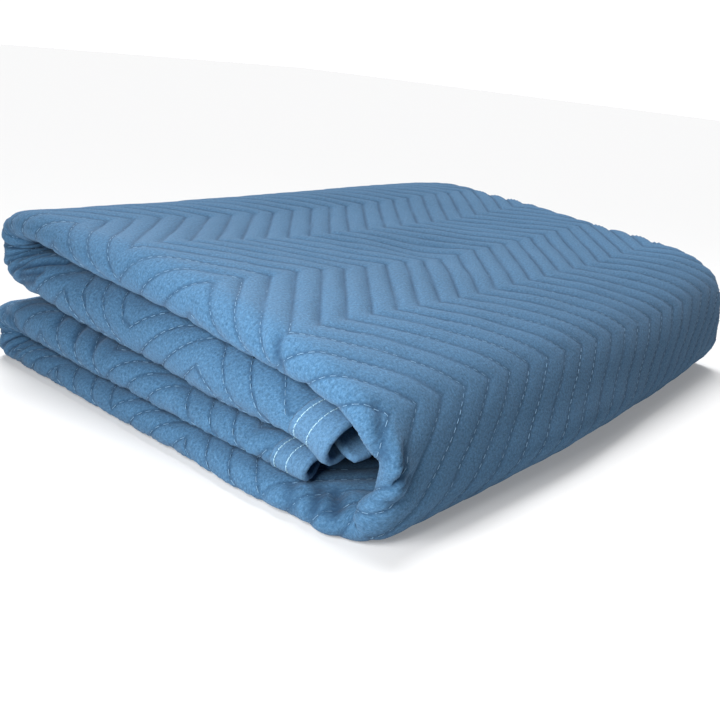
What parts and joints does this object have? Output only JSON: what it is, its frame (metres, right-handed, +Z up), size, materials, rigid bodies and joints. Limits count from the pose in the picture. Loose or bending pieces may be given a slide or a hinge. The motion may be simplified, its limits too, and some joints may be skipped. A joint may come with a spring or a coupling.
{
  "type": "moving blanket",
  "caption": "Quilted moving blanket with a zigzag-stitched felt panel and a sewn edge binding, folded in thirds and then lengthwise into a thick, uneven stack that lies flat",
  "frame": {"origin": "middle of the folded blanket's footprint, at the height of what it lies on", "axes": "+X runs along the folded strip from the two left bends to the wrap bend that holds both halves, +Y runs across it from the rounded front folds to the back folds, +Z is up"},
  "size_m": [0.5256, 0.6672, 0.1496],
  "materials": {
    "quilted_felt": "fuzzy mid-blue non-woven felt, quilted in zigzag channels",
    "binding_cloth": "smooth mid-blue non-woven strip, stitched in two rows"
  },
  "bodies": {
    "root": {"quilted_panel": "quilted_felt", "edge_binding": "binding_cloth"}
  },
  "joints": []
}
